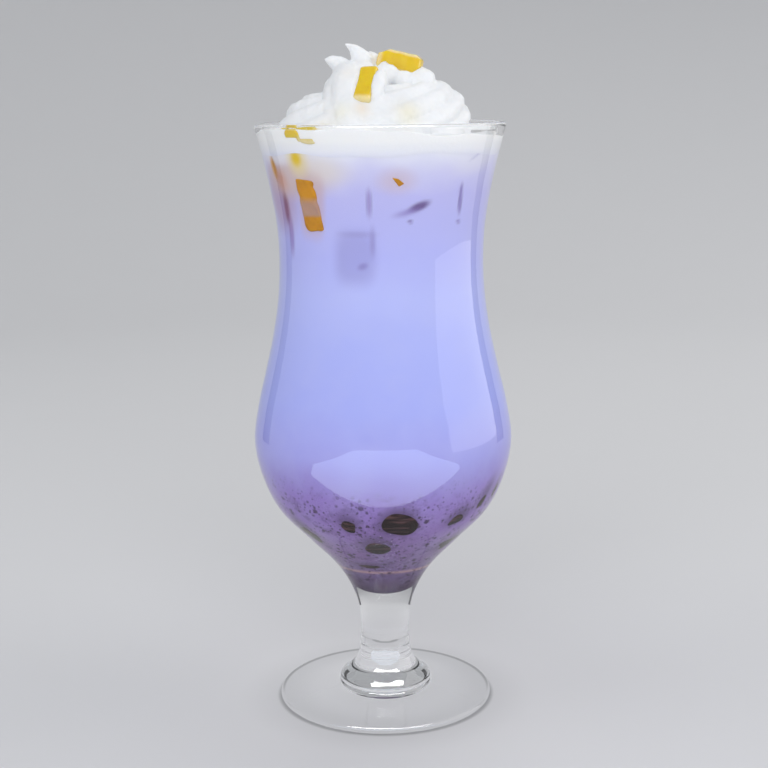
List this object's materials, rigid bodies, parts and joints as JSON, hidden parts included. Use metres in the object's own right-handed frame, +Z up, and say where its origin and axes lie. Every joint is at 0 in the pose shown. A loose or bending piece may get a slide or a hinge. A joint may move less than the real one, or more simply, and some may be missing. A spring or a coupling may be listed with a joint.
{
  "type": "taro bubble tea",
  "caption": "Tall stemmed tulip glass of lavender taro milk tea with a piped whipped cream swirl and mango jelly strips.",
  "frame": {"origin": "centre of the foot's flat underside, on the glass's axis", "axes": "+Z up along the glass's axis, +X to the right and -Y towards the viewer"},
  "size_m": [0.0846, 0.0846, 0.2164],
  "materials": {
    "glass": "clear polished",
    "taro_milk": "wet, milky lavender",
    "whipped_cream": "soft satin",
    "jelly": "wet, clear yellow"
  },
  "bodies": {
    "root": {"glass": "glass", "taro_milk": "taro_milk", "whipped_cream": "whipped_cream", "jelly_strip_top": "jelly", "jelly_strip_front": "jelly", "jelly_strip_side": "jelly"}
  },
  "joints": []
}
